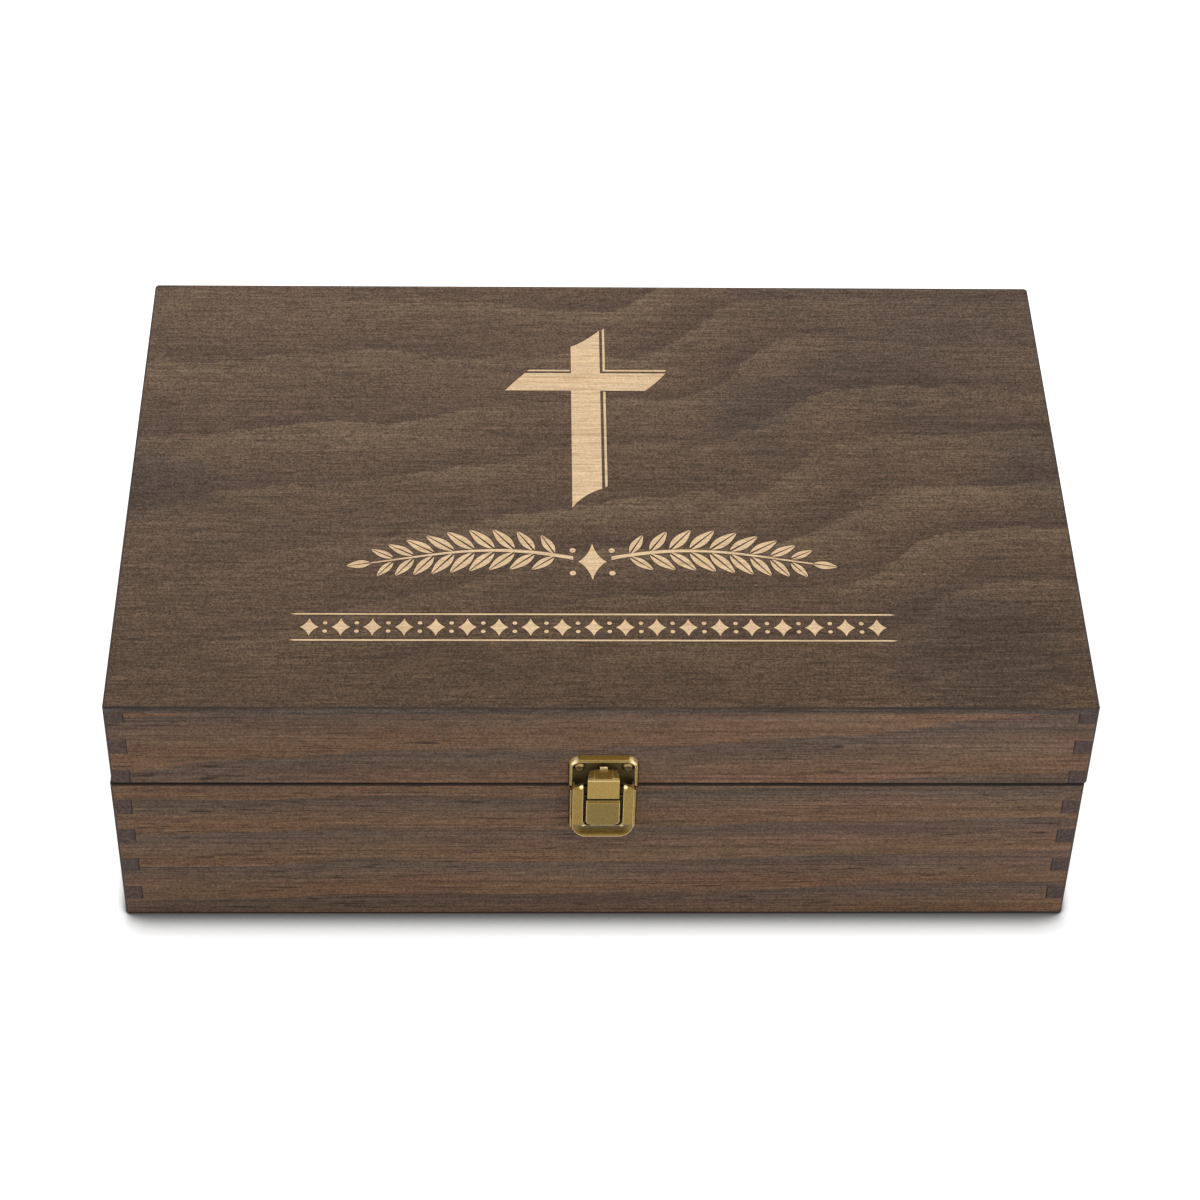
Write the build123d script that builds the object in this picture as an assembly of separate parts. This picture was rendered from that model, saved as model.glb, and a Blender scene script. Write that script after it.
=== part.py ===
from build123d import *
from math import radians, sin
import os

# A stained pine keepsake box: finger-jointed base and lid frames, plywood bottom and top panels,
# two butt hinges on the back and a draw latch on the front.
# Millimetres. The origin is the centre of the underside, +Z up, the latch faces -Y.

# Box
WIDTH = 350.0
DEPTH = 234.0
WALL = 7.0
BOTTOM_PANEL = 2.0
BASE_BOARD = 70.0
LID_BOARD = 36.7
TOP_PANEL = 2.7
SEAM_GAP = 0.3
LID_SHIFT = 0.6            # the lid sits this far to the right of the base
CORNER_EASE = 0.9          # every outer edge is eased with a small chamfer: the upright corners,
PANEL_EASE = 0.6           # the outer edge of the top and bottom panels
RIM_EASE = 0.4             # and the rims on both sides of the seam

# Finger joints: the fingers of the side boards show as end grain in the front and back
FINGER = 7.1
FINGER_PITCH = 15.8
BASE_FIRST_FINGER = 7.0    # from the foot of the base boards to the first side finger
LID_FIRST_FINGER = 0.0     # the lid starts with a side finger
THINNEST_FINGER = 1.5      # a last finger that would be thinner is left out

# Screws, each down to the wood's surface
SCREW_NECK = 1.0
PAN_HEAD = 2.0
PAN_HEAD_TOP = 1.35
PAN_HEAD_HEIGHT = 0.9
SUNK_HEAD = 1.9
SCREW_PLAY = 0.05          # between a screw and the hole it passes through
CROSS_LENGTH = 2.2
CROSS_WIDTH = 0.45
CROSS_DEPTH = 0.5

# Hinges
HINGE_LENGTH = 30.0
HINGE_LEAF = 11.5          # from the pin's axis to the leaf's free edge
HINGE_LEAF_THICK = 1.0
HINGE_BARREL = 1.8
HINGE_PIN = 0.9
HINGE_PIN_PLAY = 0.05
HINGE_PIN_END = 0.3        # how far the pin stands out of its barrel
HINGE_GAP = 0.15           # from the barrel to the wood, and between two knuckles
HINGE_LEAF_GAP = 0.25      # from a leaf to the other leaf's knuckles
HINGE_KNUCKLES = 3
HINGE_INSET = 63.0         # from the end of the box to the middle of each hinge
HINGE_SCREW_X = 9.0
HINGE_SCREW_Z = 6.8

# Latch: heights are from the middle of the seam, and "out" is how far something stands from the wood
LATCH_X = 1.4              # the latch sits a little right of the middle
SHEET = 0.8
PIN_RADIUS = 0.6
PIN_PLAY = 0.05

# Catch plate on the lid
CATCH_WIDTH = 25.5
CATCH_FOOT = 0.6
CATCH_TOP = 15.3
CATCH_CORNER = 4.5
CATCH_RIM = 1.8            # how far the pressed rim stands out from the wood
CATCH_RIM_WIDTH = 1.45
CATCH_HEAD_WIDTH = 2.0     # the rim is wider along the head
RIM_BEVEL = 20.0           # degrees
CATCH_SCREW_X = 8.75
CATCH_SCREW_Z = 10.1
LUG_WIDTH = 2.7
LUG_FOOT = 7.3
LUG_TOP = 8.6
LUG_REACH = 0.9            # how far the lug stands out from the plate
LUG_SLOT_WIDTH = 6.0       # the slot that the lug was bent out of
LUG_SLOT_HEIGHT = 0.7

# Base plate
PLATE_WIDTH = 24.8
PLATE_HEAD = -0.7
PLATE_FOOT = -24.5
PLATE_CORNER = 5.0
PLATE_RIM = 1.7
PLATE_RIM_WIDTH = 1.1
PLATE_SCREW_X = 4.0
PLATE_SCREW_Z = -13.0
EAR_X = 9.45               # from the latch's middle to the middle of each ear
EAR_BOSS = 1.1
EAR_ROOT_HEAD = -3.0
EAR_ROOT_FOOT = -7.5

# Lever
LEVER_WIDTH = 21.9
LEVER_FRONT = 5.6
LEVER_FOOT = -22.3
LEVER_FOOT_OUT = 5.3
LEVER_CORNER = 5.0
LEVER_BEND = -16.5         # below this the face leans back
LEVER_PIVOT_OUT = 3.5
LEVER_PIVOT_UP = 2.2
LEVER_CLOSE = 6.0          # degrees from the stored pose to the engaged one
LEVER_PLAY = 0.2           # from the closed lever to the base plate
SHOULDER_DROP = 0.9        # the shoulders slope down to the outside
SCOOP_RADIUS = 9.0         # the finger dish across the foot of the lever
SCOOP_DEPTH = 0.9
SCOOP_UP = -19.3
WINDOW_WIDTH = 14.5
WINDOW_FOOT = -16.8
WINDOW_CORNER = 3.6
TAB_WIDTH = 12.0
TAB_HEAD = -3.5
TAB_FOOT = -15.8
TAB_CORNER = 2.6
TAB_LIP = 0.6              # bevel along the head of the tab
TAB_BRIDGE = 8.6
CHEEK_BOSS = 1.25          # the inner cheeks that hold the hook's pin

# Hook
HOOK_WIDTH = 11.4
HOOK_SHEET = 0.7
HOOK_PIVOT_OUT = 4.45
HOOK_PIVOT_UP = -1.0
HOOK_BEND = 8.2
HOOK_BEND_ROUND = 1.0
HOOK_NOSE_UP = 9.6
HOOK_NOSE_GAP = 0.2        # from the lug's end to the nose while the latch is stored
HOOK_CORNER = 2.4
HOOK_TIP_WIDTH = 2.7
HOOK_TIP_TOP = 11.8
HOOK_PANEL_WIDTH = 6.6     # a panel pressed up in the turned-in end
HOOK_PANEL_RISE = 0.25

# Levels and faces that follow from the sizes above
FRONT = -DEPTH / 2
BACK = DEPTH / 2
BASE_RIM = BOTTOM_PANEL + BASE_BOARD
LID_RIM = BASE_RIM + SEAM_GAP
LID_BOARD_TOP = LID_RIM + LID_BOARD
SEAM = BASE_RIM + SEAM_GAP / 2
HINGE_AXIS_Y = BACK + HINGE_BARREL + HINGE_GAP
HINGE_X = WIDTH / 2 - HINGE_INSET
SHOULDER = LEVER_FRONT - LEVER_PIVOT_OUT
KNUCKLE = PIN_RADIUS + PIN_PLAY + HOOK_SHEET
HOOK_SHEET_OUT = HOOK_PIVOT_OUT + KNUCKLE - HOOK_SHEET / 2
HOOK_NOSE_OUT = SHEET + LUG_REACH + HOOK_NOSE_GAP
FAR = 100.0                # longer than the latch in every direction
EASE_SHARE = 0.45          # a panel's chamfer stays under this share of its thickness

# Planes of the latch: seen from the front (right, up), and seen from its left side (out, up)
LATCH_FACE = Plane(origin=(LATCH_X, FRONT, SEAM), x_dir=(1, 0, 0), z_dir=(0, -1, 0))
LATCH_SIDE = Plane(origin=(LATCH_X, FRONT, SEAM), x_dir=(0, -1, 0), z_dir=(-1, 0, 0))


def block(x, y, z):
    """A box from three (low, high) pairs."""
    size = [high - low for low, high in (x, y, z)]
    middle = [(high + low) / 2 for low, high in (x, y, z)]
    return Pos(*middle) * Box(*size)


def facing(x, y, z, way):
    """A place on the front (way -1) or back (way 1) face, with its own +Z pointing out of the box."""
    return Location(Plane(origin=(x, y, z), x_dir=(1, 0, 0), z_dir=(0, way, 0)))


def bar(radius, x_low, x_high, y, z):
    """A round bar along X."""
    return Pos((x_low + x_high) / 2, y, z) * Rot(0, 90, 0) * Cylinder(radius, x_high - x_low)


# Wooden case

def finger_spans(first, low, high):
    """The heights of the side boards' fingers between the foot and the head of a board."""
    spans = []
    start = low + first
    while start < high - THINNEST_FINGER:
        spans.append((start, min(start + FINGER, high)))
        start += FINGER_PITCH
    return spans


def eased_case(low, high, foot_ease, head_ease):
    """The outside of the base or the lid, which every board is cut to."""
    case = block((-WIDTH / 2, WIDTH / 2), (FRONT, BACK), (low, high))
    case = chamfer(case.edges().filter_by(Axis.Z), CORNER_EASE)
    case = chamfer(case.edges().group_by(Axis.Z)[0], foot_ease)
    return chamfer(case.edges().group_by(Axis.Z)[-1], head_ease)


def long_board(way, low, high, spans, case):
    """The front (way -1) or back (way 1) board, notched at both ends for the side fingers."""
    depth = sorted((way * DEPTH / 2, way * (DEPTH / 2 - WALL)))
    board = block((-WIDTH / 2, WIDTH / 2), depth, (low, high))
    for end in (-1, 1):
        edge = sorted((end * WIDTH / 2, end * (WIDTH / 2 - WALL)))
        for span in spans:
            board -= block(edge, depth, span)
    return board & case


def side_board(way, low, high, spans, case):
    """The left (way -1) or right (way 1) board, with its fingers in the front and back boards."""
    thick = sorted((way * WIDTH / 2, way * (WIDTH / 2 - WALL)))
    board = block(thick, (FRONT + WALL, BACK - WALL), (low, high))
    for span in spans:
        board += block(thick, (FRONT, BACK), span)
    return board & case


def base_case():
    foot_ease = min(PANEL_EASE, EASE_SHARE * BOTTOM_PANEL)
    case = eased_case(0, BASE_RIM, foot_ease, RIM_EASE)
    spans = finger_spans(BASE_FIRST_FINGER, BOTTOM_PANEL, BASE_RIM)
    low, high = BOTTOM_PANEL, BASE_RIM
    panel = block((-WIDTH / 2, WIDTH / 2), (FRONT, BACK), (0, BOTTOM_PANEL))
    return {
        "base_front_board": long_board(-1, low, high, spans, case),
        "base_back_board": long_board(1, low, high, spans, case),
        "base_left_board": side_board(-1, low, high, spans, case),
        "base_right_board": side_board(1, low, high, spans, case),
        "base_bottom_panel": panel & case,
    }


def lid_case():
    top = LID_BOARD_TOP + TOP_PANEL
    head_ease = min(PANEL_EASE, EASE_SHARE * TOP_PANEL)
    case = eased_case(LID_RIM, top, RIM_EASE, head_ease)
    spans = finger_spans(LID_FIRST_FINGER, LID_RIM, LID_BOARD_TOP)
    low, high = LID_RIM, LID_BOARD_TOP
    shift = Pos(LID_SHIFT, 0, 0)
    panel = block((-WIDTH / 2, WIDTH / 2), (FRONT, BACK), (LID_BOARD_TOP, top))
    return {
        "lid_front_board": shift * long_board(-1, low, high, spans, case),
        "lid_back_board": shift * long_board(1, low, high, spans, case),
        "lid_left_board": shift * side_board(-1, low, high, spans, case),
        "lid_right_board": shift * side_board(1, low, high, spans, case),
        "lid_top_panel": shift * (panel & case),
    }


# Screws, upright with the wood's surface at height 0

def turned(points):
    """The solid that an outline of (radius, height) points makes about Z."""
    return revolve(make_face(Plane.XZ * Polyline(*points, close=True)), Axis.Z)


def cross_recess(head_top):
    """The cross that a screwdriver turns, cut down from the top of the head."""
    depth = (head_top - CROSS_DEPTH, head_top + CROSS_DEPTH)
    long_way = (-CROSS_LENGTH / 2, CROSS_LENGTH / 2)
    short_way = (-CROSS_WIDTH / 2, CROSS_WIDTH / 2)
    return block(long_way, short_way, depth) + block(short_way, long_way, depth)


def pan_head_screw():
    """A screw with its neck through a latch plate and its head on it."""
    top = SHEET + PAN_HEAD_HEIGHT
    neck = [(0, 0), (SCREW_NECK, 0), (SCREW_NECK, SHEET)]
    head = [(PAN_HEAD, SHEET), (PAN_HEAD_TOP, top), (0, top)]
    return turned(neck + head) - cross_recess(top)


def sunk_head(growth):
    """The countersunk head through a hinge leaf, or with a growth the seat that it lies in."""
    neck = SCREW_NECK + growth
    rim = SUNK_HEAD + growth
    top = HINGE_LEAF_THICK
    return turned([(0, 0), (neck, 0), (rim, top), (0, top)])


def sunk_head_screw():
    """A screw whose head lies flush in a hinge leaf."""
    return sunk_head(0) - cross_recess(HINGE_LEAF_THICK)


def screw_group(screw, places, way):
    """The same screw at every place of the front (way -1) or back (way 1) face."""
    y = way * DEPTH / 2
    return Compound([(facing(x, y, z, way) * screw).solid() for x, z in places])


CATCH_SCREWS = [(LATCH_X + side * CATCH_SCREW_X, SEAM + CATCH_SCREW_Z) for side in (-1, 1)]
PLATE_SCREWS = [(LATCH_X + side * PLATE_SCREW_X, SEAM + PLATE_SCREW_Z) for side in (-1, 1)]


def hinge_screws(way):
    """Screw places of the lid's leaves (way 1) or the base's leaves (way -1)."""
    z = SEAM + way * HINGE_SCREW_Z
    return [
        (hinge * HINGE_X + side * HINGE_SCREW_X, z)
        for hinge in (-1, 1)
        for side in (-1, 1)
    ]


def screws():
    sunk = sunk_head_screw()
    pan = pan_head_screw()
    return {
        "catch_plate_screws": screw_group(pan, CATCH_SCREWS, -1),
        "latch_plate_screws": screw_group(pan, PLATE_SCREWS, -1),
        "lid_hinge_screws": screw_group(sunk, hinge_screws(1), 1),
        "base_hinge_screws": screw_group(sunk, hinge_screws(-1), 1),
    }


# Butt hinges

def knuckle_spans(owner):
    """The lengths of the knuckles of the base leaf (owner 0) or the lid leaf (owner 1)."""
    knuckle = (HINGE_LENGTH - (HINGE_KNUCKLES - 1) * HINGE_GAP) / HINGE_KNUCKLES
    starts = [-HINGE_LENGTH / 2 + i * (knuckle + HINGE_GAP) for i in range(HINGE_KNUCKLES)]
    return [(start, start + knuckle) for start in starts[owner::2]]


def hinge_leaf(middle, way):
    """The leaf on the lid (way 1) or on the base (way -1), with its share of the knuckles."""
    owner = 1 if way > 0 else 0
    rise = sorted((SEAM + way * SEAM_GAP / 2, SEAM + way * HINGE_LEAF))
    sheet = (BACK, BACK + HINGE_LEAF_THICK)
    leaf = block((middle - HINGE_LENGTH / 2, middle + HINGE_LENGTH / 2), sheet, rise)
    relief = HINGE_BARREL + HINGE_LEAF_GAP
    for low, high in knuckle_spans(1 - owner):
        notch = (middle + low - HINGE_GAP, middle + high + HINGE_GAP)
        leaf -= block(notch, sheet, (SEAM - relief, SEAM + relief))
    for low, high in knuckle_spans(owner):
        leaf += bar(HINGE_BARREL, middle + low, middle + high, HINGE_AXIS_Y, SEAM)
    hole = HINGE_PIN + HINGE_PIN_PLAY
    leaf -= bar(hole, middle - HINGE_LENGTH, middle + HINGE_LENGTH, HINGE_AXIS_Y, SEAM)
    for side in (-1, 1):
        place = facing(middle + side * HINGE_SCREW_X, BACK, SEAM + way * HINGE_SCREW_Z, 1)
        leaf -= place * sunk_head(SCREW_PLAY)
    return leaf


def hinges():
    parts = {}
    for name, side in (("left", -1), ("right", 1)):
        middle = side * HINGE_X
        end = HINGE_LENGTH / 2 + HINGE_PIN_END
        parts[name + "_hinge_lid_leaf"] = hinge_leaf(middle, 1)
        parts[name + "_hinge_base_leaf"] = hinge_leaf(middle, -1)
        parts[name + "_hinge_pin"] = bar(HINGE_PIN, middle - end, middle + end, HINGE_AXIS_Y, SEAM)
    return parts


# Draw latch

def upright(width, low, high):
    """A rectangle up the latch's middle."""
    return Pos(0, (low + high) / 2) * Rectangle(width, high - low)


def rounded_end(width, low, high, corner, end):
    """A rectangle up the latch's middle, rounded at its head (end -1) or its foot (end 0)."""
    shape = upright(width, low, high)
    return fillet(shape.vertices().group_by(Axis.Y)[end], corner)


def raised(shape, low, high):
    """A shape seen from the front, as a solid between two distances from the wood."""
    return extrude(LATCH_FACE.offset(low) * shape, high - low)


def across(profile, width, middle=0.0):
    """A side profile, as a solid of a width about a place left or right of the latch's middle."""
    return Pos(middle, 0, 0) * extrude(LATCH_SIDE * profile, width / 2, both=True)


def pivot(out, up, radius):
    """A round in the side profile."""
    return Pos(out, up) * Circle(radius)


def polygon(*points):
    return make_face(Polyline(*points, close=True))


def screw_holes(side_place, up):
    holes = Sketch()
    for side in (-1, 1):
        holes += Pos(side * side_place, up) * Circle(SCREW_NECK + SCREW_PLAY)
    return raised(holes, -SHEET, 2 * SHEET)


def catch_plate():
    """A pressed plate with a raised bevelled rim, two screw holes and the lug that the hook holds."""
    outline = rounded_end(CATCH_WIDTH, CATCH_FOOT, CATCH_TOP, CATCH_CORNER, -1)
    plate = extrude(LATCH_FACE * outline, CATCH_RIM, taper=RIM_BEVEL)
    inner_width = CATCH_WIDTH - 2 * CATCH_RIM_WIDTH
    inner_corner = CATCH_CORNER - CATCH_RIM_WIDTH
    inner_top = CATCH_TOP - CATCH_HEAD_WIDTH
    recess = rounded_end(inner_width, CATCH_FOOT - CATCH_RIM, inner_top, inner_corner, -1)
    plate -= raised(recess, SHEET, FAR)
    plate += raised(upright(LUG_WIDTH, LUG_FOOT, LUG_TOP), SHEET, SHEET + LUG_REACH)
    slot = upright(LUG_SLOT_WIDTH, LUG_TOP, LUG_TOP + LUG_SLOT_HEIGHT)
    plate -= raised(slot, -SHEET, FAR)
    return plate - screw_holes(CATCH_SCREW_X, CATCH_SCREW_Z)


def base_plate():
    """A pressed plate with raised side rims and two ears that hold the lever's pin."""
    outline = rounded_end(PLATE_WIDTH, PLATE_FOOT, PLATE_HEAD, PLATE_CORNER, 0)
    plate = extrude(LATCH_FACE * outline, PLATE_RIM, taper=RIM_BEVEL)
    recess = upright(PLATE_WIDTH - 2 * PLATE_RIM_WIDTH, PLATE_FOOT - FAR, PLATE_HEAD + FAR)
    plate -= raised(recess, SHEET, FAR)
    boss = pivot(LEVER_PIVOT_OUT, LEVER_PIVOT_UP, EAR_BOSS)
    root = Pos(SHEET / 2, (EAR_ROOT_HEAD + EAR_ROOT_FOOT) / 2)
    root *= Rectangle(SHEET, EAR_ROOT_HEAD - EAR_ROOT_FOOT)
    ear = make_hull(boss.edges() + root.edges())
    ear -= pivot(LEVER_PIVOT_OUT, LEVER_PIVOT_UP, PIN_RADIUS + PIN_PLAY)
    for side in (-1, 1):
        plate += across(ear, SHEET, side * EAR_X)
    return plate - screw_holes(PLATE_SCREW_X, PLATE_SCREW_Z)


def lever_side():
    """The side profile: a round shoulder, a flat face and a back edge that leaves room to close."""
    length = LEVER_PIVOT_UP - LEVER_FOOT
    back = SHEET + LEVER_PLAY + length * sin(radians(LEVER_CLOSE))
    blade = polygon(
        (LEVER_PIVOT_OUT, LEVER_PIVOT_UP),
        (LEVER_FRONT, LEVER_PIVOT_UP),
        (LEVER_FRONT, LEVER_BEND),
        (LEVER_FOOT_OUT, LEVER_FOOT),
        (back, LEVER_FOOT),
    )
    shoulder = pivot(LEVER_PIVOT_OUT, LEVER_PIVOT_UP, SHOULDER)
    return make_hull(blade.edges() + shoulder.edges())


def scoop(growth):
    """The round tool that presses the finger dish, or with a growth the inside of the dish."""
    out = LEVER_FRONT - SCOOP_DEPTH + SCOOP_RADIUS
    return across(pivot(out, SCOOP_UP, SCOOP_RADIUS + growth), LEVER_WIDTH + 2 * SHEET)


def lever_hollow():
    """The inside of the pressed lever, open at the back and above the ears."""
    inside = LEVER_FRONT - SHEET
    width = LEVER_WIDTH - 2 * SHEET
    low = LEVER_FOOT + SHEET
    corner = LEVER_CORNER - SHEET
    hollow = raised(rounded_end(width, low, LEVER_PIVOT_UP, corner, 0), 0, inside)
    hollow += raised(upright(width, 0, FAR), 0, LEVER_PIVOT_OUT)
    hollow += across(pivot(LEVER_PIVOT_OUT, LEVER_PIVOT_UP, SHOULDER - SHEET), width)
    return hollow - scoop(SHEET)


def lever_window():
    """The opening between the two rails, round the tab."""
    window = rounded_end(WINDOW_WIDTH, WINDOW_FOOT, FAR, WINDOW_CORNER, 0)
    window -= rounded_end(TAB_WIDTH, TAB_FOOT, TAB_HEAD, TAB_CORNER, 0)
    window -= upright(TAB_BRIDGE, WINDOW_FOOT - SHEET, TAB_HEAD)
    return raised(window, 0, FAR)


def lever_outline():
    """The lever seen from the front: sloping shoulders and a rounded foot."""
    top = LEVER_PIVOT_UP + SHOULDER
    half = LEVER_WIDTH / 2
    outline = polygon(
        (-half, LEVER_FOOT),
        (-half, top - SHOULDER_DROP),
        (-WINDOW_WIDTH / 2, top),
        (WINDOW_WIDTH / 2, top),
        (half, top - SHOULDER_DROP),
        (half, LEVER_FOOT),
    )
    return raised(fillet(outline.vertices().group_by(Axis.Y)[0], LEVER_CORNER), 0, FAR)


def cheek():
    """The side profile of the two inner cheeks, from the rails back to the hook's pin."""
    middle = LEVER_FRONT - SHEET / 2
    boss = pivot(HOOK_PIVOT_OUT, HOOK_PIVOT_UP, CHEEK_BOSS)
    root = Pos(middle, HOOK_PIVOT_UP) * Rectangle(SHEET / 2, 2 * CHEEK_BOSS)
    behind = Pos(middle - FAR / 2, 0) * Rectangle(FAR, FAR)
    return make_hull(boss.edges() + root.edges()) & behind


def latch_lever():
    """A pressed lever: two rails round a window, a tab in the window and a finger dish at the foot."""
    lever = across(lever_side(), LEVER_WIDTH) & lever_outline()
    lever = lever - scoop(0) - lever_hollow() - lever_window()
    lip = polygon(
        (LEVER_FRONT - SHEET, TAB_HEAD),
        (LEVER_FRONT, TAB_HEAD),
        (LEVER_FRONT, TAB_HEAD - TAB_LIP),
    )
    lever -= across(lip, WINDOW_WIDTH)
    for side in (-1, 1):
        lever += across(cheek(), SHEET, side * (WINDOW_WIDTH + SHEET) / 2)
    hole = PIN_RADIUS + PIN_PLAY
    lever -= across(pivot(LEVER_PIVOT_OUT, LEVER_PIVOT_UP, hole), LEVER_WIDTH)
    return lever - across(pivot(HOOK_PIVOT_OUT, HOOK_PIVOT_UP, hole), WINDOW_WIDTH + 2 * SHEET)


def latch_hook():
    """A bowed link: rolled round its pin, flat before the lever's pin, turned in above the lug."""
    bend = (HOOK_SHEET_OUT, HOOK_BEND)
    nose = (HOOK_NOSE_OUT - HOOK_SHEET, HOOK_NOSE_UP)
    line = FilletPolyline((HOOK_SHEET_OUT, HOOK_PIVOT_UP), bend, nose, radius=HOOK_BEND_ROUND)
    strip = trace(line, HOOK_SHEET) + pivot(HOOK_PIVOT_OUT, HOOK_PIVOT_UP, KNUCKLE)
    strip -= pivot(HOOK_PIVOT_OUT, HOOK_PIVOT_UP, PIN_RADIUS + PIN_PLAY)
    head = HOOK_NOSE_UP + HOOK_SHEET / 2
    outline = rounded_end(HOOK_WIDTH, HOOK_PIVOT_UP - FAR, head, HOOK_CORNER, -1)
    panel = Pos(0, HOOK_PANEL_RISE) * trace(Line(bend, nose), HOOK_SHEET)
    hook = across(strip, HOOK_WIDTH) + across(panel, HOOK_PANEL_WIDTH)
    hook &= raised(outline, HOOK_NOSE_OUT, FAR)
    tip = upright(HOOK_TIP_WIDTH, HOOK_NOSE_UP, HOOK_TIP_TOP)
    return hook + raised(tip, HOOK_NOSE_OUT, HOOK_NOSE_OUT + HOOK_SHEET)


def latch():
    lever_pin = pivot(LEVER_PIVOT_OUT, LEVER_PIVOT_UP, PIN_RADIUS)
    hook_pin = pivot(HOOK_PIVOT_OUT, HOOK_PIVOT_UP, PIN_RADIUS)
    return {
        "catch_plate": catch_plate(),
        "latch_base_plate": base_plate(),
        "latch_lever": latch_lever(),
        "latch_hook": latch_hook(),
        "lever_pin": across(lever_pin, LEVER_WIDTH - SHEET / 2),
        "hook_pin": across(hook_pin, WINDOW_WIDTH + 2 * SHEET),
    }


def build():
    os.makedirs("parts", exist_ok=True)
    for group in (base_case(), lid_case(), hinges(), latch(), screws()):
        for name, shape in group.items():
            export_step(shape, "parts/" + name + ".step")


build()
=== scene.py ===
from math import cos, pi, radians, sin

import bmesh
import bpy
from mathutils import Matrix, Vector


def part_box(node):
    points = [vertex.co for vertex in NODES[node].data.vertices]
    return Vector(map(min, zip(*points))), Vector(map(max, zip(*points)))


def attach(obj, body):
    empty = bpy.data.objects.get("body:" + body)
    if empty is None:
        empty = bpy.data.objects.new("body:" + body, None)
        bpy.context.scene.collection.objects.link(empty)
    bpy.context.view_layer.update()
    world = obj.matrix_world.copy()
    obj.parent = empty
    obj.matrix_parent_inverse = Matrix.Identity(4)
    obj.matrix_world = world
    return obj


# A stained wooden keepsake box with a pale engraved cross and a brass draw latch.
# Places are in metres in the part's frame: origin under the middle of the box, latch towards -Y.

MM = 0.001

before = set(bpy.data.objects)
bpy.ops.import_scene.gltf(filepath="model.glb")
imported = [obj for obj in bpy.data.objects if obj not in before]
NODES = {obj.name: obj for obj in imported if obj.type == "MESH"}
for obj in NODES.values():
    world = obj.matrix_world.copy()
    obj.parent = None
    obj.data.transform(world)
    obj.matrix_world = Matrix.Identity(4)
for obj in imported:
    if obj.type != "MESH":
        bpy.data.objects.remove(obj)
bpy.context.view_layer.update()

# Colours, linear
VENEER_LIGHT = (0.156, 0.105, 0.067)
VENEER_MID = (0.122, 0.078, 0.051)
VENEER_DARK = (0.082, 0.051, 0.035)
VENEER_COLD = (0.050, 0.040, 0.036)
VENEER_PORE = (0.040, 0.026, 0.019)
PINE_WARM = (0.160, 0.091, 0.053)
PINE_MID = (0.148, 0.089, 0.0575)
PINE_GREY = (0.110, 0.073, 0.052)
PINE_DARK = (0.026, 0.016, 0.012)
# Stain in the joints and on the arrises, and painted shade along the seam and the foot
STAIN_AND_PAINTED_SHADE = (0.014, 0.010, 0.009)
END_GRAIN = (0.118, 0.081, 0.069)
END_GRAIN_MID = (0.085, 0.058, 0.052)
END_GRAIN_DARK = (0.044, 0.029, 0.028)
PLY_EDGE = (0.086, 0.068, 0.058)
PLY_LINE = (0.140, 0.108, 0.086)
PLY_ARRIS = (0.036, 0.029, 0.025)
MAPLE = (0.780, 0.560, 0.338)
MAPLE_DARK = (0.620, 0.400, 0.220)
BURN = (0.090, 0.050, 0.028)
BRASS = (0.250, 0.168, 0.049)
# The hook's face, and the painted highlights on the screws' rims
BRASS_PALE_AND_PAINTED_HIGHLIGHT = (0.312, 0.209, 0.062)
# Patina spots, and a painted reflection on the latch's upward faces
BRASS_PATINA_AND_PAINTED_REFLECTION = (0.200, 0.112, 0.021)
# Painted shade on the hook's upward faces
BRASS_SHADE = (0.125, 0.075, 0.014)
# Painted dim reflection on the lever's tab
BRASS_DIM_PAINTED_REFLECTION = (0.158, 0.115, 0.039)
# Painted dark reflection in the finger dish and on the tab's lip, and painted shade on the sides of a screw's
# rim
BRASS_DARK_PAINTED_REFLECTION = (0.055, 0.032, 0.006)
# Patina and painted shade on the sheet that lies on the wood
BRASS_PATINA_AND_PAINTED_SHADE = (0.040, 0.026, 0.005)
# Painted shade: where brass faces down, is closed in, faces sideways in the latch or lies in its slots
BRASS_PAINTED_SHADE = (0.022, 0.014, 0.004)
# Brass rubbed bright on its edges, and painted highlights
BRASS_RUBBED_AND_PAINTED_HIGHLIGHT = (0.900, 0.720, 0.390)
SCREW_BROWN = (0.060, 0.040, 0.016)

# Tints that multiply a colour
PINE_REDDENED = (1.05, 0.97, 0.96)
PINE_OLIVE = (0.965, 1.015, 0.985)
# Painted light: the pine a little lighter to the right
PINE_LEFT_PAINTED_SHADE = (0.98, 0.98, 0.98)
PINE_RIGHT_PAINTED_LIGHT = (1.10, 1.13, 1.17)
# Painted light: the veneer darker towards the front and lighter towards the back
VENEER_FRONT_PAINTED_SHADE = (0.79, 0.75, 0.685)
VENEER_MIDWAY_PAINTED_SHADE = (0.98, 0.97, 0.94)
VENEER_BACK_PAINTED_LIGHT = (1.12, 1.12, 1.11)

# Places on the box that the finishes follow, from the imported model
PANEL_FOOT, PANEL_HEAD = (corner.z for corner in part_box("lid_top_panel"))
BASE_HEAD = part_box("base_front_board")[1].z
LID_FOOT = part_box("lid_front_board")[0].z
SEAM = (BASE_HEAD + LID_FOOT) / 2
FRONT_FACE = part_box("base_front_board")[0].y
BOX_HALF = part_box("base_front_board")[1].x


# Nodes

def shader(name):
    """A new material and its empty node tree."""
    made = bpy.data.materials.new(name)
    made.use_nodes = True
    made.node_tree.nodes.clear()
    return made, made.node_tree


def put(tree, kind, inputs=None, **settings):
    """Adds a node. An input is a value, or a socket that is linked to it."""
    node = tree.nodes.new("ShaderNode" + kind)
    for key, value in settings.items():
        setattr(node, key, value)
    for key, value in (inputs or {}).items():
        if isinstance(value, bpy.types.NodeSocket):
            tree.links.new(value, node.inputs[key])
        else:
            node.inputs[key].default_value = value
    return node


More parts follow.
